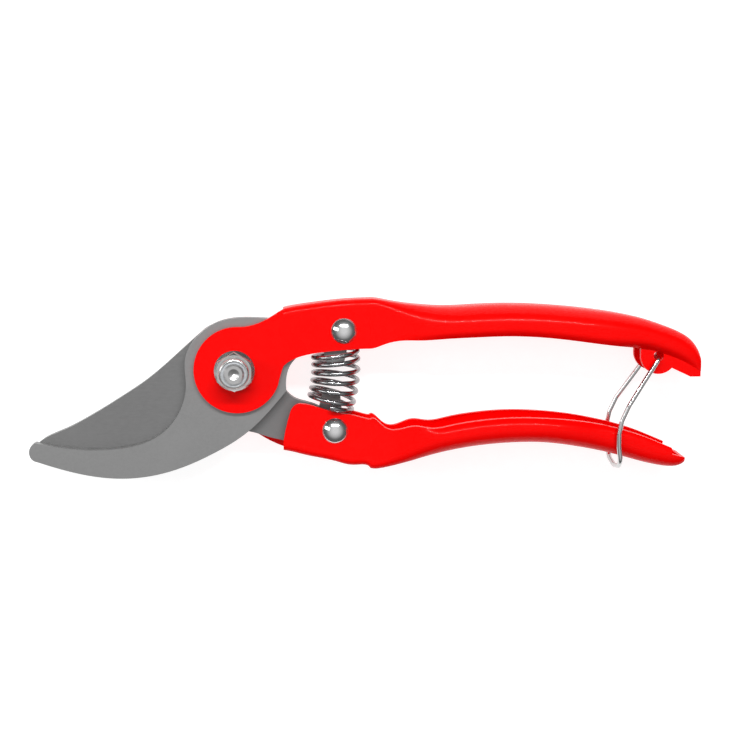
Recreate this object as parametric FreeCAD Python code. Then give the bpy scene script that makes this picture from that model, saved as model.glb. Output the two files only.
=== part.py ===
import FreeCAD, Part
import math
import os
from FreeCAD import Vector as V

os.makedirs("parts", exist_ok=True)

# Bypass pruner lying flat, jaws closed and latched. Millimetres.
# The pivot axis is Z through X=Y=0, the tail ends point to +X, and Z=0 is the outer face of the bolt head.

# ---- driving sizes ----
jaw_reach = 60.5          # pivot to the nose of the hook, along X
handle_reach = 138.8      # pivot to the tail end of the upper handle, along X
lower_reach = handle_reach - 4.2   # pivot to the tail end of the lower handle, along X
neck_x = 40.0             # where the flat head of each handle turns into the grip
grip_half = 9.7           # half width of the grips
tail_half = grip_half - 2.4   # half width of the lower tail, inside the latch loop
sheet = 1.5               # handle steel
plate = 3.0               # hook and blade steel
fold_r = 2.0              # outer bend radius at the back of the flat heads
collar_r = 12.75          # discs of the two long cheeks around the pivot
collar_shift = 0.8        # how far the front disc sits towards the grip from the bolt

bolt_d = 6.0
bolt_head_af = bolt_d + 4.0
bolt_head_h = 4.0
bolt_chamfer = 0.5
washer_d = 2 * bolt_d
washer_t = 1.2
nut_flange_d = bolt_d + 5.9
nut_flange_t = 1.1
nut_af = bolt_d + 4.0
nut_hex_h = 4.6
nut_collar_d = bolt_d + 2.8
nut_h = 7.6
insert_d = bolt_d + 1.5
insert_h = 1.8
bolt_proud = 0.7          # bolt end above the nut
bolt_dimple = 0.8         # depth of the centre mark in the bolt end

rivet_d = 5.0
rivet_head_d = 7.8
rivet_head_h = 1.9
spacer_d = 9.0

side_gap = 0.1            # blade to hook, and washer to moving cheek
stand_off = 0.2           # extra room between the hook plate and the lower handle's front cheek
run_fit = 0.05            # radial, blade and rear disc on the bolt
pass_fit = 0.1            # radial, fixed parts on the bolt and rivets' spacers
wire_fit = 0.08           # radial, latch wire in the bottom of its hole

spring_wire = 1.4
spring_mean_r = 6.7
spring_turns = 6.5
spring_seat = 0.2         # wire to cheek edge
spring_drop = 15.9        # from the top seat to the bottom seat
spring_closed = 1.0       # turns that lie close together at each end

wire_d = 1.45
latch_hole_d = wire_d + 1.65
lug_half = 5.2            # half width over the lugs
lug_clear = 0.45          # latch leg to lug
latch_bend = 1.1          # bend radius of the wire where it leaves the lug
leg_room = 0.78           # latch leg to the side of the lower tail
leg_spread = tail_half + leg_room + wire_d / 2
tail_room = 0.62          # swinging latch bar to the lower tail
bar_sag = 1.0             # how far the middle of the latch bar hangs below its corners

# ---- heights ----
z_rear = bolt_head_h + washer_t + side_gap
z_blade = z_rear + sheet
z_hook = z_blade + plate + side_gap
z_front = z_hook + plate
z_nut = z_front + sheet
z_mid = z_blade + plate + side_gap / 2
head_half = sheet + plate + side_gap / 2
lower_half = head_half + stand_off / 2

stretch_up = (handle_reach - neck_x) / (138.8 - 40.0)
stretch_low = (lower_reach - neck_x) / (134.6 - 40.0)
stretch_jaw = (jaw_reach - 15.0) / (60.5 - 15.0)


def along(x, stretch):
    return x if x <= neck_x else neck_x + (x - 40.0) * stretch


def jaw(points):
    return [(x if x > -15.0 else -15.0 + (x + 15.0) * stretch_jaw, y) for x, y in points]


# ---- helpers ----
def curve(points):
    if len(points) == 2:
        return Part.makeLine(V(points[0][0], points[0][1], 0), V(points[1][0], points[1][1], 0))
    spline = Part.BSplineCurve()
    spline.interpolate([V(x, y, 0) for x, y in points])
    return spline.toShape()


def plate_from(runs, z, thickness):
    """A flat plate. Each run is a smooth curve that starts where the one before it ends."""
    edges = []
    start = runs[0][0]
    for i, run in enumerate(runs):
        end = runs[i + 1][0] if i + 1 < len(runs) else start
        points = list(run) if run[-1] == end else list(run) + [end]
        edges.append(curve(points))
    face = Part.Face(Part.Wire(edges))
    face.translate(V(0, 0, z))
    return face.extrude(V(0, 0, thickness))


def arc_points(x, y, r, degrees):
    return [(x + r * math.cos(math.radians(a)), y + r * math.sin(math.radians(a))) for a in degrees]


def cylinder(d, h, x, y, z):
    return Part.makeCylinder(d / 2, h, V(x, y, z))


def hexagon(af, h, z):
    r = af / math.sqrt(3)
    points = [V(r * math.cos(math.radians(a)), r * math.sin(math.radians(a)), z) for a in range(30, 391, 60)]
    return Part.Face(Part.makePolygon(points)).extrude(V(0, 0, h))


def bezier(*points):
    b = Part.BezierCurve()
    b.setPoles(list(points))
    return b.toShape()


def section(x, back, edge, half, back_y, back_z, lip_y, lip_z, z_centre, below=0.0):
    """Closed channel section across X. The open edge is at y=edge, the rounded back at y=back.
    Above zero, below carries the sides straight on past the open edge."""
    s = 1 if back > edge else -1

    def at(y, z):
        return V(x, y, z_centre + z)

    k = 0.4477
    side = half - lip_z
    foot = edge - s * below
    turn = back - s * back_y
    runs = [
        [(edge, side), (edge + s * lip_y / 3, side + 0.6 * lip_z), (edge + s * lip_y / 2, half),
         (edge + s * lip_y, half)],
        [(edge + s * lip_y, half), (turn, half)],
        [(turn, half), (back - s * back_y * k, half), (back, half - back_z * k), (back, half - back_z)]]
    if below:
        runs.insert(0, [(foot, side), (edge, side)])
    up = [bezier(*[at(y, z) for y, z in run]) for run in runs]
    down = [bezier(*[at(y, -z) for y, z in reversed(run)]) for run in reversed(runs)]
    over = bezier(at(back, half - back_z), at(back, back_z - half))
    close = bezier(at(foot, -side), at(foot, side))
    return Part.Wire(up + [over] + down + [close])


def body(stations, z_of):
    """Solid through the stations: rows x, back, edge, half, back_y, back_z, lip_y, lip_z."""
    return Part.makeLoft([section(*row, z_of(row[0])) for row in stations], True, False)


def hollow(stations, z_of):
    """What is cut from the body to leave sheet of even thickness, open past the edge."""
    wires = []
    for x, back, edge, half, back_y, back_z, lip_y, lip_z in stations:
        s = 1 if back > edge else -1
        wires.append(section(x, back - s * sheet, edge, half - sheet, max(back_y - sheet, 0.5),
                             max(back_z - sheet, 0.5), lip_y, lip_z, z_of(x), below=3.0))
    return Part.makeLoft(wires, True, False)


def save(name, shape):
    if shape.ShapeType == "Compound" and len(shape.Solids) == 1:
        shape = shape.Solids[0]
    shape.exportStep("parts/%s.step" % name)
    print(name, shape.ShapeType, len(shape.Solids), shape.isValid(), round(shape.Volume, 1))


# ---- rivet places ----
upper_rivet_at = (32.2, 11.3)
lower_rivet_at = (29.5, -18.4)

# ---- upper handle ----
# x, back, edge, half, back_y, back_z, lip_y, lip_z
up_head = [(x, back, edge, head_half, fold_r, fold_r, 3.0, 0.0) for x, back, edge in (
    (14.4, 17.9, 1.2), (17.0, 18.5, 3.0), (21.6, 19.2, 4.5), (28.0, 20.0, 5.4), (34.0, 20.5, 5.9),
    (neck_x, 20.7, 6.1))]
g = grip_half
up_grip = [(along(row[0], stretch_up),) + row[1:] for row in (
    (40.0, 20.7, 6.1, head_half, fold_r, fold_r, 3.0, 0.0),
    (44.0, 20.2, 7.3, head_half + 0.2, 2.4, 2.2, 3.0, 0.05),
    (49.0, 19.3, 8.5, g - 3.9, 3.6, 3.6, 3.0, 0.3),
    (55.0, 18.6, 8.7, g - 1.9, 5.0, 5.6, 2.8, 0.8),
    (62.0, 18.2, 9.2, g - 0.5, 5.2, 7.4, 2.8, 1.4),
    (70.0, 18.5, 9.6, g, 5.2, 8.0, 2.8, 1.6),
    (80.0, 18.8, 9.9, g, 5.2, 8.0, 2.8, 1.6),
    (90.0, 18.5, 9.5, g, 5.2, 8.0, 2.8, 1.6),
    (100.0, 17.7, 8.4, g - 0.1, 5.2, 8.0, 2.8, 1.6),
    (109.0, 16.6, 7.1, g - 0.6, 5.2, 7.6, 2.8, 1.6),
    (116.0, 15.4, 6.2, g - 1.2, 5.0, 7.0, 3.0, 2.2),
    (122.0, 14.0, 5.4, g - 1.8, 4.6, 6.4, 3.2, g - 1.8 - lug_half),
    (128.0, 12.0, 3.8, g - 2.3, 4.4, 5.8, 3.2, g - 2.3 - lug_half),
    (133.5, 9.7, 1.6, g - 2.9, 4.4, 5.2, 3.0, g - 2.9 - lug_half),
    (136.4, 7.6, 0.0, g - 3.5, 4.2, 4.4, 2.6, g - 3.5 - lug_half),
    (138.0, 5.4, -0.8, g - 4.0, 3.4, 3.6, 2.2, 0.3),
    (138.8, 3.2, -1.3, g - 4.5, 2.2, 2.4, 1.6, 0.1))]


def level(x):
    return z_mid


upper = body(up_head, level).fuse(body(up_grip, level))
inner_head = [(up_head[0][0] - 2.0,) + up_head[0][1:]] + up_head
upper = upper.cut(hollow(inner_head, level)).cut(hollow(up_grip[:-2] + [
    (up_grip[-1][0] - sheet,) + up_grip[-2][1:]], level))

# front cheek: neck and disc around the pivot
disc = arc_points(collar_shift, 0, collar_r, range(88, 341, 18))
neck_top = [(14.4, 17.9), (12.2, 16.6), (8.9, 14.6), (5.2, 13.2), disc[0]]
neck_low = [disc[-1], (13.4, -1.8), (13.9, -0.2), (14.4, 1.2)]
upper = upper.fuse(plate_from([neck_top, disc, neck_low, [(14.4, 1.2), (14.4, 17.9)]], z_front, sheet))

# lugs and tail end
hole_at = (along(125.9, stretch_up), 3.3)
lug_r = 5.4
lug_left = hole_at[0] - lug_r
tail_x = handle_reach - 0.1
lug_arc = arc_points(hole_at[0], hole_at[1], lug_r, range(180, 319, 23))
lug_runs = [
    [(lug_left, 9.0), lug_arc[0]],
    lug_arc,
    [lug_arc[-1], (handle_reach - 3.2, -3.0)],
    [(handle_reach - 3.2, -3.0), (tail_x, -3.0)],
    [(tail_x, -3.0), (tail_x, 1.5)],
    [(tail_x, 1.5), (handle_reach - 6.0, 4.5)],
    [(handle_reach - 6.0, 4.5), (lug_left, 9.0)]]
for side in (-1, 1):
    z = z_mid + (lug_half - sheet if side > 0 else -lug_half)
    upper = upper.fuse(plate_from(lug_runs, z, sheet))
end_wall = Part.makeBox(sheet, 5.5, 2 * lug_half, V(tail_x - sheet, -3.0, z_mid - lug_half))
upper = upper.fuse(end_wall)
upper = upper.cut(cylinder(latch_hole_d, 4 * grip_half, hole_at[0], hole_at[1], z_mid - 2 * grip_half))
upper = upper.cut(cylinder(rivet_d, 4 * grip_half, upper_rivet_at[0], upper_rivet_at[1], 0))
upper = upper.cut(cylinder(bolt_d + 2 * pass_fit, 4 * grip_half, 0, 0, 0))
save("upper_handle", upper)

# ---- lower handle ----
low_head = [(x, back, edge, lower_half, fold_r, fold_r, 2.0, 0.0) for x, back, edge in (
    (14.2, -24.2, -12.6), (15.2, -24.4, -11.2), (17.0, -24.8, -10.3), (20.0, -25.6, -10.1),
    (25.0, -26.7, -11.4), (30.0, -27.9, -12.9), (35.0, -29.0, -13.7), (neck_x, -30.0, -14.9))]
low_grip = [(along(row[0], stretch_low),) + row[1:] for row in (
    (40.0, -30.0, -14.9, lower_half, fold_r, fold_r, 2.0, 0.0),
    (44.0, -30.0, -17.2, lower_half + 0.15, 2.4, 2.4, 2.0, 0.0),
    (48.0, -29.2, -18.1, g - 4.3, 3.4, 3.4, 2.0, 0.1),
    (53.0, -27.8, -16.8, g - 2.6, 4.6, 5.0, 2.2, 0.1),
    (58.0, -26.3, -17.4, g - 1.1, 5.2, 6.6, 2.6, 0.9),
    (64.0, -24.9, -16.5, g - 0.2, 5.2, 7.8, 2.8, 1.5),
    (72.0, -23.6, -15.2, g, 5.2, 8.0, 2.8, 1.6),
    (82.0, -22.8, -14.5, g, 5.2, 8.0, 2.8, 1.6),
    (92.0, -22.9, -14.8, g - 0.3, 5.2, 7.8, 2.8, 1.6),
    (101.0, -24.1, -15.7, g - 1.1, 5.2, 7.2, 2.8, 1.6),
    (108.0, -25.5, -16.9, g - 2.1, 5.0, 6.6, 2.8, 1.4),
    (115.0, -27.2, -18.6, g - 2.3, 4.8, 6.2, 2.8, 1.2),
    (122.0, -29.2, -20.9, tail_half, 4.6, 6.0, 2.6, 1.0),
    (127.5, -30.4, -23.2, g - 2.6, 4.4, 5.6, 2.2, 0.8),
    (131.0, -30.7, -24.7, g - 2.9, 4.0, 4.8, 1.6, 0.6),
    (133.2, -30.3, -25.6, g - 3.4, 3.0, 3.8, 1.2, 0.4),
    (134.6, -29.4, -26.2, g - 4.2, 1.8, 2.6, 0.9, 0.2))]


def lower_level(x):
    f = min(1.0, max(0.0, (x - neck_x) / 25.0))
    return z_mid + stand_off / 2 * (1 - f)


lower = body(low_head, lower_level).fuse(body(low_grip, lower_level))
inner_head = [(low_head[0][0] - 2.0,) + low_head[0][1:]] + low_head
lower = lower.cut(hollow(inner_head, lower_level)).cut(hollow(low_grip[:-2] + [
    (low_grip[-1][0] - sheet,) + low_grip[-2][1:]], lower_level))
notch_x = along(130.4, stretch_low)
notch = plate_from([[(notch_x, -26.2), (notch_x, -20.0)], [(notch_x, -20.0), (notch_x + 9.0, -20.0)],
                    [(notch_x + 9.0, -20.0), (notch_x + 9.0, -29.0)],
                    [(notch_x + 9.0, -29.0), (notch_x, -26.2)]], z_mid - grip_half, 2 * grip_half)
lower = lower.cut(notch)
rear_corner = [[(14.2, -12.4), (14.2, -5.0)], [(14.2, -5.0), (27.0, -5.0)], [(27.0, -5.0), (27.0, -13.2)],
               [(27.0, -13.2), (21.0, -11.6), (14.2, -12.4)]]
front_corner = [[(14.1, -22.0), (12.0, -22.0)], [(12.0, -22.0), (12.0, -8.0)], [(12.0, -8.0), (19.0, -8.0)],
                [(19.0, -8.0), (18.6, -10.1)], [(18.6, -10.1), (17.0, -11.2), (16.2, -12.8)],
                [(16.2, -12.8), (15.5, -15.2), (14.1, -22.0)]]
lower = lower.cut(plate_from(rear_corner, z_rear, sheet))
lower = lower.cut(plate_from(front_corner, z_front + stand_off, sheet))
disc = arc_points(0, 0, collar_r, range(-25, 246, 18))
neck_right = [(14.2, -12.4), (12.9, -9.0), disc[0]]
neck_left = [disc[-1], (-2.5, -13.8), (2.0, -17.0), (7.6, -20.9), (14.2, -24.2)]
lower = lower.fuse(plate_from([neck_right, disc, neck_left, [(14.2, -24.2), (14.2, -12.4)]], z_rear, sheet))
lower = lower.cut(cylinder(rivet_d, 4 * grip_half, lower_rivet_at[0], lower_rivet_at[1], 0))
lower = lower.cut(cylinder(bolt_d + 2 * run_fit, 4 * grip_half, 0, 0, 0))
save("lower_handle", lower)

# ---- hook plate ----
hook_runs = [
    jaw([(-58.6, -21.3), (-54.4, -22.3), (-48.6, -23.2), (-41.9, -23.7), (-35.1, -23.4), (-28.8, -22.3),
         (-22.6, -19.6), (-18.2, -15.4), (-15.4, -10.2), (-14.3, -4.6), (-14.6, 1.2), (-13.6, 6.0),
         (-10.0, 10.6), (-5.4, 13.8), (0.0, 15.2), (6.2, 15.3), (13.0, 15.0)]),
    [(13.0, 15.0), (20.0, 16.4), (28.0, 17.6), (33.0, 17.7)],
    [(33.0, 17.7), (37.5, 16.4), (39.4, 12.6), (38.0, 8.8), (33.4, 7.0)],
    [(33.4, 7.0), (32.4, 2.4)],
    [(32.4, 2.4), (31.2, 1.5), (28.0, 1.5), (26.8, 2.4)],
    [(26.8, 2.4), (26.0, 6.3)],
    [(26.0, 6.3), (21.5, 5.2), (18.3, 3.4), (16.2, 0.8), (15.2, -2.6), (15.2, -6.4)],
    jaw([(15.2, -6.4), (12.2, -10.0), (8.8, -13.8), (4.0, -18.4), (-0.9, -21.9), (-5.9, -24.7),
         (-10.8, -27.1), (-18.0, -29.9), (-25.5, -31.7), (-33.0, -32.3), (-40.1, -31.8), (-49.8, -29.7),
         (-58.2, -27.0)]),
    jaw([(-58.2, -27.0), (-60.2, -25.6), (-60.5, -23.6), (-58.6, -21.3)])]
hook = plate_from(hook_runs, z_hook, plate)
hook = hook.cut(cylinder(bolt_d + 2 * pass_fit, plate, 0, 0, z_hook))
hook = hook.cut(cylinder(rivet_d, plate, upper_rivet_at[0], upper_rivet_at[1], z_hook))
save("hook_plate", hook)

# ---- blade ----
cutting_edge = jaw([(-58.3, -21.9), (-54.5, -24.4), (-48.0, -26.4), (-40.0, -27.6), (-31.0, -27.2),
                    (-22.0, -25.0), (-14.0, -22.0), (-7.0, -20.0)])
blade_runs = [
    cutting_edge,
    [cutting_edge[-1], (-1.0, -18.9), (4.3, -19.1), (9.3, -20.6), (14.5, -21.9), (22.0, -23.7),
     (30.0, -25.4)],
    [(30.0, -25.4), (35.4, -25.4), (38.2, -21.4), (36.6, -16.6), (31.8, -14.0)],
    [(31.8, -14.0), (31.2, -8.2)],
    [(31.2, -8.2), (30.0, -7.2), (27.0, -7.2), (25.8, -8.2)],
    [(25.8, -8.2), (25.0, -11.9)],
    [(25.0, -11.9), (21.0, -10.4), (17.6, -9.2), (15.2, -7.0), (14.2, -4.4)],
    [(14.2, -4.4), (14.0, 0.5), (12.4, 6.0), (8.0, 11.2), (2.0, 13.8), (-4.6, 13.6), (-8.5, 11.9)],
    jaw([(-8.5, 11.9), (-14.5, 6.6), (-20.5, 1.2), (-26.4, -3.6), (-32.4, -7.6), (-38.3, -11.3),
         (-44.3, -14.8), (-50.2, -17.8), (-56.1, -20.4), (-58.3, -21.9)])]
blade = plate_from(blade_runs, z_blade, plate)
bevel_w = 4.2
edge_t = 0.35
path = curve(cutting_edge)
steps = 12
wires = []
for i in range(steps + 1):
    u = path.FirstParameter + (path.LastParameter - path.FirstParameter) * i / steps
    p = path.valueAt(u)
    t = path.tangentAt(u)
    n = V(-t.y, t.x, 0)
    w = bevel_w * (1.0 - 0.45 * i / steps) * (0.55 + 0.45 * min(1.0, i / 3.0))
    rise = (plate - edge_t) * (w + 1.0) / w
    corners = [p + n * w + V(0, 0, z_blade), p - n + V(0, 0, z_blade + rise),
               p - n + V(0, 0, z_blade - 1.0), p + n * w + V(0, 0, z_blade - 1.0)]
    wires.append(Part.makePolygon(corners + corners[:1]))
blade = blade.cut(Part.makeLoft(wires, True, True))
blade = blade.cut(cylinder(bolt_d + 2 * run_fit, plate, 0, 0, z_blade))
blade = blade.cut(cylinder(rivet_d, plate, lower_rivet_at[0], lower_rivet_at[1], z_blade))
save("blade", blade)


# ---- rivets and their spacers ----
def dome(x, y, z, up):
    sphere_r = ((rivet_head_d / 2) ** 2 + rivet_head_h ** 2) / (2 * rivet_head_h)
    ball = Part.makeSphere(sphere_r, V(x, y, z - up * (sphere_r - rivet_head_h)))
    keep = Part.makeBox(4 * sphere_r, 4 * sphere_r, 2 * sphere_r,
                        V(x - 2 * sphere_r, y - 2 * sphere_r, z if up > 0 else z - 2 * sphere_r))
    return ball.common(keep)


for name, place, top, z_ring, ring_t in (
        ("upper", upper_rivet_at, z_nut, z_blade, z_hook - z_blade),
        ("lower", lower_rivet_at, z_nut + stand_off, z_blade + plate, z_front + stand_off - z_blade - plate)):
    x, y = place
    rivet = cylinder(rivet_d, top - z_rear, x, y, z_rear)
    rivet = rivet.fuse(dome(x, y, top, 1)).fuse(dome(x, y, z_rear, -1))
    save(name + "_rivet", rivet)
    ring = cylinder(spacer_d, ring_t, x, y, z_ring)
    ring = ring.cut(cylinder(rivet_d + 2 * pass_fit, ring_t, x, y, z_ring))
    save(name + "_rivet_spacer", ring)

# ---- pivot ----
bolt_top = z_nut + nut_h + bolt_proud
head = hexagon(bolt_head_af, bolt_head_h, 0)
corner_r = bolt_head_af / math.sqrt(3)
cone = Part.makeCone(corner_r - 0.9, corner_r + bolt_head_h - 0.9, bolt_head_h)
bolt = head.common(cone).fuse(cylinder(bolt_d, bolt_top - bolt_head_h - bolt_chamfer, 0, 0, bolt_head_h))
bolt = bolt.fuse(Part.makeCone(bolt_d / 2, bolt_d / 2 - bolt_chamfer, bolt_chamfer,
                               V(0, 0, bolt_top - bolt_chamfer)))
bolt = bolt.cut(Part.makeCone(0, 2.0 * bolt_dimple, bolt_dimple, V(0, 0, bolt_top - bolt_dimple)))
save("pivot_bolt", bolt)
washer = cylinder(washer_d, washer_t, 0, 0, bolt_head_h).cut(
    cylinder(bolt_d + 2 * pass_fit, washer_t, 0, 0, bolt_head_h))
save("pivot_washer", washer)

nut = cylinder(nut_flange_d, nut_flange_t, 0, 0, z_nut)
nut = nut.fuse(Part.makeCone(nut_flange_d / 2, nut_collar_d / 2, 1.5, V(0, 0, z_nut + nut_flange_t)))
hexa = hexagon(nut_af, nut_hex_h, z_nut)
top_r = nut_af / math.sqrt(3) + 0.05
crown = Part.makeCone(top_r + nut_hex_h - 0.7, top_r - 0.7, nut_hex_h, V(0, 0, z_nut))
nut = nut.fuse(hexa.common(crown)).fuse(cylinder(nut_collar_d, nut_h, 0, 0, z_nut))
nut_rim = max((e for e in nut.Edges if abs(e.CenterOfMass.z - z_nut - nut_h) < 0.01), key=lambda e: e.Length)
nut = nut.makeFillet(0.6, [nut_rim])
insert_z = z_nut + nut_h - insert_h - 0.5
nut = nut.cut(cylinder(bolt_d, nut_h, 0, 0, z_nut)).cut(cylinder(insert_d, nut_h, 0, 0, insert_z))
save("lock_nut", nut)
insert = cylinder(insert_d, insert_h, 0, 0, insert_z).cut(cylinder(bolt_d, insert_h, 0, 0, insert_z))
save("nut_insert", insert)

# ---- return spring: a coil whose axis is an arc between the two seats ----
spring_top = V(29.7, 5.75 - spring_wire / 2 - spring_seat, z_mid)
top_tilt = 6.0
bottom_tilt = -17.0
arc_r = spring_drop / (math.sin(math.radians(top_tilt)) - math.sin(math.radians(bottom_tilt)))
centre = spring_top - V(math.cos(math.radians(top_tilt)), math.sin(math.radians(top_tilt)), 0) * arc_r
per_turn = 16
closed_pitch = spring_wire * 1.2
length = arc_r * math.radians(top_tilt - bottom_tilt)
open_pitch = (length - 2 * spring_closed * closed_pitch) / (spring_turns - 2 * spring_closed)
coil = []
for i in range(int(spring_turns * per_turn) + 1):
    turn = i / per_turn
    in_open = min(max(turn - spring_closed, 0.0), spring_turns - 2 * spring_closed)
    run = in_open * open_pitch + (turn - in_open) * closed_pitch
    angle = math.radians(top_tilt) - run / arc_r
    phase = 2 * math.pi * turn - math.pi / 2
    r = arc_r + spring_mean_r * math.cos(phase)
    coil.append(centre + V(r * math.cos(angle), r * math.sin(angle), spring_mean_r * math.sin(phase)))
spline = Part.BSplineCurve()
spline.interpolate(coil)
spine = Part.Wire(spline.toShape())
start = spline.value(spline.FirstParameter)
direction = spline.tangent(spline.FirstParameter)[0]
ring = Part.Wire(Part.Circle(start, direction, spring_wire / 2).toShape())
spring = spine.makePipeShell([ring], True, True)
save("return_spring", spring)

# ---- latch wire ----
pull = V(-11.3, -31.0, 0).normalize()
slack = (latch_hole_d - wire_d) / 2 - wire_fit
latch_at = V(hole_at[0], hole_at[1], 0) + pull * slack
leg_top = lug_half + lug_clear + wire_d / 2
bar_x = -11.4
tail_rows = [row for row in low_grip if row[0] > latch_at.x + bar_x]
tail_reach = max(math.hypot(row[0] - latch_at.x, row[1] - latch_at.y) for row in tail_rows)
bar_reach = tail_reach + tail_room + wire_d / 2
bar_y = bar_sag - math.sqrt(bar_reach ** 2 - bar_x ** 2)


def latch_point(dx, dy, dz):
    return latch_at + V(dx, dy, z_mid + dz)


half_path = [(0.0, 0.0, 2.2), (0.0, 0.0, leg_top), (-5.0, -7.5, leg_top + 1.1),
             (-9.2, -13.8, leg_spread - 0.1), (-11.2, -18.2, leg_spread), (-12.0, -22.2, leg_spread),
             (-11.9, -26.0, leg_spread), (bar_x, bar_y + 2.2, leg_spread), (bar_x, bar_y, leg_spread - 2.2)]
way = [latch_point(*p) for p in half_path] + [latch_point(bar_x, bar_y - bar_sag, 0)]
way += [latch_point(x, y, -z) for x, y, z in reversed(half_path)]


def rounded_path(corners, first_radius, radius):
    """Straight runs joined by arcs. The first and last bends have a radius of their own."""
    edges = []
    last = corners[0]
    for i, (before, here, after) in enumerate(zip(corners, corners[1:], corners[2:])):
        a = (before - here).normalize()
        b = (after - here).normalize()
        bend = math.pi - a.getAngle(b)
        if bend < 1e-3:
            continue
        bend_r = first_radius if i in (0, len(corners) - 3) else radius
        cut = min(bend_r * math.tan(bend / 2), 0.45 * (before - here).Length, 0.45 * (after - here).Length)
        p, q = here + a * cut, here + b * cut
        r = cut / math.tan(bend / 2)
        centre_way = (a + b).normalize()
        middle = here + centre_way * (r / math.cos(bend / 2) - r)
        edges += [Part.makeLine(last, p), Part.Arc(p, middle, q).toShape()]
        last = q
    return Part.Wire(edges + [Part.makeLine(last, corners[-1])])


spine = rounded_path(way, latch_bend, 2.4)
ring = Part.Wire(Part.Circle(way[0], V(0, 0, 1), wire_d / 2).toShape())
latch = spine.makePipeShell([ring], True, False)
save("latch_wire", latch)
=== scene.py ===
import math

import bpy
from mathutils import Matrix, Vector


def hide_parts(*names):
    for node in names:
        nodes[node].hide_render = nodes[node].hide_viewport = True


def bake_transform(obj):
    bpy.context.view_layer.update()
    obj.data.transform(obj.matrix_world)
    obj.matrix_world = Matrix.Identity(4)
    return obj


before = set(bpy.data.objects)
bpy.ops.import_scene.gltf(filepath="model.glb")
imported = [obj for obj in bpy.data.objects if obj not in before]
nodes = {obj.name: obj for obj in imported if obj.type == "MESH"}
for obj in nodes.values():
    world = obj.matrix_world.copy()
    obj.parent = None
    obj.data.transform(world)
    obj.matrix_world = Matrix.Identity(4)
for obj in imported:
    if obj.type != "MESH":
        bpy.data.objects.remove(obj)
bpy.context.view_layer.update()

MM = 0.001
Z_MID = 9.85 * MM          # between hook plate and blade


# ---------------------------------------------------------------- camera
def add_camera(target, distance, yaw, pitch, frame_width):
    """Looks down -Z at target, turned a little from straight above. It sees frame_width at the target."""
    back = Vector((-math.sin(yaw) * math.cos(pitch), math.sin(pitch), math.cos(yaw) * math.cos(pitch)))
    right = (-back).cross(Vector((0, 1, 0))).normalized()
    up = back.cross(right)
    data = bpy.data.cameras.new("camera")
    data.sensor_width = 36
    data.lens = 36 * distance / frame_width
    data.clip_start = 0.01
    camera = bpy.data.objects.new("camera", data)
    turn = Matrix((right, up, back)).transposed().to_4x4()
    camera.matrix_world = Matrix.Translation(Vector(target) + back * distance) @ turn
    bpy.context.collection.objects.link(camera)
    bpy.context.scene.camera = camera


add_camera((41.6 * MM, -2.4 * MM, Z_MID), 0.46, math.radians(3.6), math.radians(8.5), 0.2235)


# ---------------------------------------------------------------- materials
def material(name, colour, metallic, roughness):
    m = bpy.data.materials.new(name)
    m.use_nodes = True
    bsdf = m.node_tree.nodes["Principled BSDF"]
    bsdf.inputs["Base Color"].default_value = (*colour, 1)
    bsdf.inputs["Metallic"].default_value = metallic
    bsdf.inputs["Roughness"].default_value = roughness
    return m, m.node_tree.nodes, m.node_tree.links, bsdf


def place(tree_nodes, links, scale=(1, 1, 1)):
    coord = tree_nodes.new("ShaderNodeTexCoord")
    mapping = tree_nodes.new("ShaderNodeMapping")
    mapping.inputs["Scale"].default_value = scale
    links.new(coord.outputs["Object"], mapping.inputs["Vector"])
    return mapping.outputs["Vector"]


def noise(tree_nodes, links, vector, scale, detail=3.0, rough=0.5):
    n = tree_nodes.new("ShaderNodeTexNoise")
    n.inputs["Scale"].default_value = scale
    n.inputs["Detail"].default_value = detail
    n.inputs["Roughness"].default_value = rough
    links.new(vector, n.inputs["Vector"])
    return n.outputs["Fac"]


def ramp(tree_nodes, links, value, stops):
    r = tree_nodes.new("ShaderNodeValToRGB")
    while len(r.color_ramp.elements) < len(stops):
        r.color_ramp.elements.new(0.5)
    for element, (position, colour) in zip(r.color_ramp.elements, stops):
        element.position = position
        element.color = (*colour, 1) if isinstance(colour, tuple) else (colour, colour, colour, 1)
    links.new(value, r.inputs["Fac"])
    return r.outputs["Color"]


def bump(tree_nodes, links, height, bsdf, strength, distance, after=None):
    b = tree_nodes.new("ShaderNodeBump")
    b.inputs["Strength"].default_value = strength
    b.inputs["Distance"].default_value = distance
    links.new(height, b.inputs["Height"])
    if after:
        links.new(after, b.inputs["Normal"])
    links.new(b.outputs["Normal"], bsdf.inputs["Normal"])
    return b.outputs["Normal"]


def enamel():
    """Thick glossy red enamel: faint orange peel, slight unevenness of colour and gloss."""
    m, n, links, bsdf = material("red_enamel", (0.88, 0.001, 0.001), 0.0, 0.25)
    bsdf.inputs["Specular IOR Level"].default_value = 0.03
    bsdf.inputs["Coat Weight"].default_value = 0.08
    bsdf.inputs["Coat Roughness"].default_value = 0.1
    where = place(n, links)
    wide = noise(n, links, where, 35, 2)
    links.new(ramp(n, links, wide, [(0.3, (0.84, 0.0007, 0.0006)), (0.7, (0.92, 0.0016, 0.0012))]),
              bsdf.inputs["Base Color"])
    gloss = noise(n, links, where, 260, 4)
    links.new(ramp(n, links, gloss, [(0.25, 0.22), (0.8, 0.34)]), bsdf.inputs["Roughness"])
    peel = noise(n, links, where, 900, 2)
    first = bump(n, links, peel, bsdf, 0.10, 0.00005)
    dips = noise(n, links, where, 120, 2)
    bump(n, links, dips, bsdf, 0.10, 0.0002, first)
    return m


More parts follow.
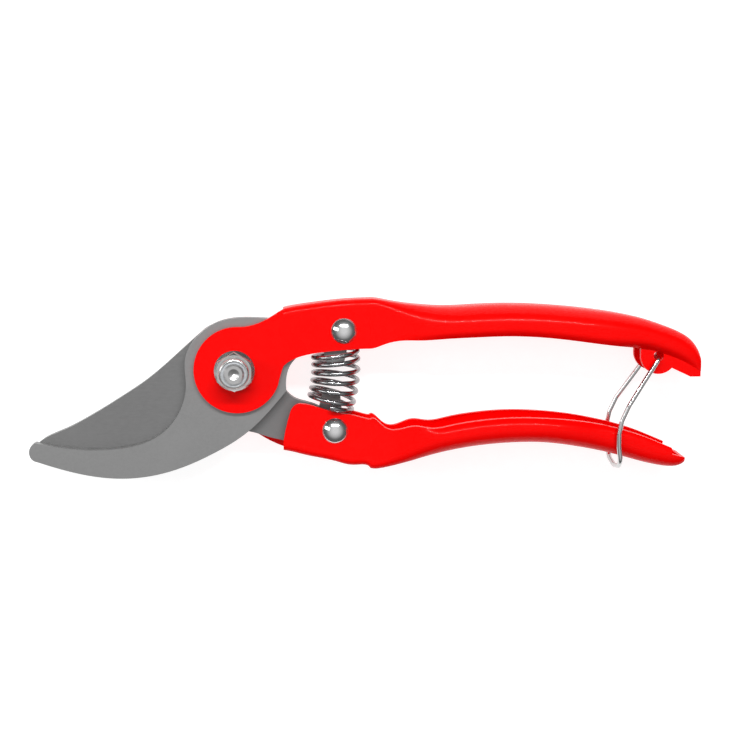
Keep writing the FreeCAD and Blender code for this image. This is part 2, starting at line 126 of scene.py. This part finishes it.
def blasted(name, colour, stretch, rough):
    """Satin steel plate: fine grain drawn out a little along the plate, soft cloudy patches."""
    m, n, links, bsdf = material(name, colour, 0.5, rough)
    grain_at = place(n, links, stretch)
    cloud_at = place(n, links)
    grain = noise(n, links, grain_at, 1500, 3, 0.6)
    cloud = noise(n, links, cloud_at, 40, 3)
    dark = tuple(c * 0.86 for c in colour)
    light = tuple(min(1.0, c * 1.12) for c in colour)
    mix = n.new("ShaderNodeMix")
    mix.data_type = "RGBA"
    links.new(grain, mix.inputs["Factor"])
    links.new(ramp(n, links, cloud, [(0.3, dark), (0.7, colour)]), mix.inputs["A"])
    mix.inputs["B"].default_value = (*light, 1)
    links.new(mix.outputs["Result"], bsdf.inputs["Base Color"])
    links.new(ramp(n, links, grain, [(0.2, rough - 0.06), (0.8, rough + 0.08)]), bsdf.inputs["Roughness"])
    bump(n, links, grain, bsdf, 0.18, 0.00004)
    return m


def plated(name, colour, rough, wear):
    """Bright plated steel with faint polishing marks and tarnish."""
    m, n, links, bsdf = material(name, colour, 1.0, rough)
    where = place(n, links)
    fine = noise(n, links, where, 1800, 3)
    cloud = noise(n, links, where, 160, 4)
    dull = tuple(c * (1 - wear) for c in colour)
    links.new(ramp(n, links, cloud, [(0.35, dull), (0.65, colour)]), bsdf.inputs["Base Color"])
    links.new(ramp(n, links, cloud, [(0.3, rough * 0.8), (0.75, rough * 1.5)]), bsdf.inputs["Roughness"])
    bump(n, links, fine, bsdf, 0.08, 0.00003)
    return m


def nylon():
    m, n, links, bsdf = material("nylon", (0.5, 0.52, 0.55), 0.0, 0.45)
    bsdf.inputs["Subsurface Weight"].default_value = 0.1
    bsdf.inputs["Subsurface Radius"].default_value = (0.001, 0.001, 0.001)
    where = place(n, links)
    speck = noise(n, links, where, 900, 3)
    links.new(ramp(n, links, speck, [(0.3, (0.42, 0.44, 0.47)), (0.7, (0.56, 0.58, 0.6))]),
              bsdf.inputs["Base Color"])
    links.new(ramp(n, links, speck, [(0.2, 0.38), (0.8, 0.55)]), bsdf.inputs["Roughness"])
    bump(n, links, speck, bsdf, 0.15, 0.00004)
    return m


red = enamel()
hook_steel = blasted("hook_steel", (0.25, 0.25, 0.25), (1, 1, 1), 0.48)
blade_steel = blasted("blade_steel", (0.19, 0.19, 0.19), (0.35, 1.2, 1), 0.42)
rivet_steel = plated("rivet_steel", (0.82, 0.82, 0.82), 0.13, 0.06)
nut_steel = plated("nut_steel", (0.62, 0.62, 0.61), 0.2, 0.2)
bolt_steel = plated("bolt_steel", (0.58, 0.58, 0.58), 0.28, 0.18)
washer_steel = plated("washer_steel", (0.5, 0.5, 0.51), 0.35, 0.15)
spring_steel = plated("spring_steel", (0.36, 0.36, 0.37), 0.18, 0.2)
wire_steel = plated("wire_steel", (0.6, 0.6, 0.6), 0.16, 0.12)
white_nylon = nylon()

finish_of = {
    "upper_handle": red, "lower_handle": red, "hook_plate": hook_steel, "blade": blade_steel,
    "upper_rivet": rivet_steel, "lower_rivet": rivet_steel, "upper_rivet_spacer": washer_steel,
    "lower_rivet_spacer": washer_steel, "pivot_bolt": bolt_steel, "pivot_washer": washer_steel,
    "lock_nut": nut_steel, "nut_insert": white_nylon, "latch_wire": wire_steel}
soft_edge = {"upper_handle": 0.22, "lower_handle": 0.22, "hook_plate": 0.28, "blade": 0.18,
             "lock_nut": 0.12, "pivot_bolt": 0.15, "pivot_washer": 0.12}
for name, finish in finish_of.items():
    o = nodes[name]
    for s in o.material_slots:
        s.link = "OBJECT"
        s.material = finish
    if name in soft_edge:
        b = o.modifiers.new("edge", "BEVEL")
        b.width = soft_edge[name] * MM
        b.segments = 2
        b.limit_method = "ANGLE"
        b.angle_limit = math.radians(38)
        b.harden_normals = True


# ---------------------------------------------------------------- return spring
def tube(name, points, radius, sides=14):
    """Round wire along the points, with rounded ends."""
    rings, verts, faces = [], [], []
    up = Vector((0, 0, 1))
    count = len(points)
    for i, p in enumerate(points):
        ahead = (points[min(i + 1, count - 1)] - points[max(i - 1, 0)]).normalized()
        side = ahead.cross(up)
        side = side.normalized() if side.length > 1e-4 else Vector((1, 0, 0))
        up = side.cross(ahead).normalized()
        rings.append((p, side, up, ahead))
    first, last = rings[0], rings[-1]
    caps = [(0.0, 0.55), (0.3, 0.86)]
    rings_r = [(r, radius) for r in rings]
    start = [((first[0] - first[3] * radius * (0.4 - 0.4 * d), *first[1:]), radius * f) for d, f in caps]
    end = [((last[0] + last[3] * radius * (0.4 - 0.4 * d), *last[1:]), radius * f) for d, f in reversed(caps)]
    for (p, side, up, ahead), r in start + rings_r + end:
        for k in range(sides):
            a = 2 * math.pi * k / sides
            verts.append(p + side * (r * math.cos(a)) + up * (r * math.sin(a)))
    rows = len(verts) // sides
    for i in range(rows - 1):
        for k in range(sides):
            j = (k + 1) % sides
            faces.append((i * sides + k, i * sides + j, (i + 1) * sides + j, (i + 1) * sides + k))
    faces.append(tuple(reversed(range(sides))))
    faces.append(tuple(range((rows - 1) * sides, rows * sides)))
    mesh = bpy.data.meshes.new(name)
    mesh.from_pydata([tuple(v) for v in verts], [], faces)
    mesh.polygons.foreach_set("use_smooth", [len(p.vertices) == 4 for p in mesh.polygons])
    mesh.update()
    o = bpy.data.objects.new(name, mesh)
    bpy.context.collection.objects.link(o)
    return o


def spring_line():
    """The CAD spring's line, in millimetres until the last step: a coil whose axis is an arc."""
    wire, mean_r, turns, closed, drop = 1.4, 6.7, 6.5, 1.0, 15.9
    top = Vector((29.7, 5.75 - wire / 2 - 0.2, 9.85))
    tilt, low_tilt = math.radians(6.0), math.radians(-17.0)
    arc_r = drop / (math.sin(tilt) - math.sin(low_tilt))
    centre = top - Vector((math.cos(tilt), math.sin(tilt), 0)) * arc_r
    length = arc_r * (tilt - low_tilt)
    tight = wire * 1.2
    pitch = (length - 2 * closed * tight) / (turns - 2 * closed)
    points = []
    per_turn = 40
    for i in range(int(turns * per_turn) + 1):
        turn = i / per_turn
        in_open = min(max(turn - closed, 0.0), turns - 2 * closed)
        run = in_open * pitch + (turn - in_open) * tight
        angle = tilt - run / arc_r
        phase = 2 * math.pi * turn - math.pi / 2
        r = arc_r + mean_r * math.cos(phase)
        offset = Vector((r * math.cos(angle), r * math.sin(angle), mean_r * math.sin(phase)))
        points.append((centre + offset) * MM)
    return points, wire / 2 * MM


points, radius = spring_line()
spring = tube("spring_coil", points, radius)
spring.data.materials.append(spring_steel)
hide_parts("return_spring")
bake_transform(spring)

# ---------------------------------------------------------------- stage and light
def floor_paper():
    """White paper that glows a little, so that it stays white and shadows on it stay faint."""
    m, n, links, bsdf = material("floor_paper", (0.4, 0.4, 0.4), 0.0, 0.8)
    paper = noise(n, links, place(n, links), 300, 3)
    links.new(ramp(n, links, paper, [(0.3, 0.38), (0.7, 0.42)]), bsdf.inputs["Base Color"])
    bsdf.inputs["Emission Color"].default_value = (1, 1, 1, 1)
    bsdf.inputs["Emission Strength"].default_value = 0.82
    return m


bpy.ops.mesh.primitive_plane_add(size=3.0, location=(0, 0, -0.2 * MM))
floor = bpy.context.object
floor.name = "floor"
floor.data.materials.append(floor_paper())


def area(name, place_at, look_at, size, power, size_y=None):
    data = bpy.data.lights.new(name, "AREA")
    data.energy = power
    data.shape = "RECTANGLE"
    data.size = size
    data.size_y = size_y or size
    o = bpy.data.objects.new(name, data)
    o.location = place_at
    o.rotation_euler = (Vector(look_at) - Vector(place_at)).to_track_quat("-Z", "Y").to_euler()
    bpy.context.collection.objects.link(o)


middle = (0.04, 0, 0)
area("key", (0.05, 0.62, 0.8), middle, 0.9, 9, 0.03)
area("left", (-0.75, 0.2, 0.5), middle, 0.25, 2.2, 0.6)


def studio_sky():
    """Dark near the horizon and bright overhead."""
    world = bpy.data.worlds.new("studio")
    world.use_nodes = True
    n, links = world.node_tree.nodes, world.node_tree.links
    where = n.new("ShaderNodeTexCoord")
    split = n.new("ShaderNodeSeparateXYZ")
    links.new(where.outputs["Generated"], split.inputs["Vector"])
    sky = ramp(n, links, split.outputs["Z"], [(0.0, 0.1), (0.45, 0.15), (0.8, 0.6), (0.97, 0.85)])
    links.new(sky, n["Background"].inputs["Color"])
    n["Background"].inputs["Strength"].default_value = 0.9
    return world


bpy.context.scene.world = studio_sky()
bpy.context.scene.view_settings.view_transform = "Standard"
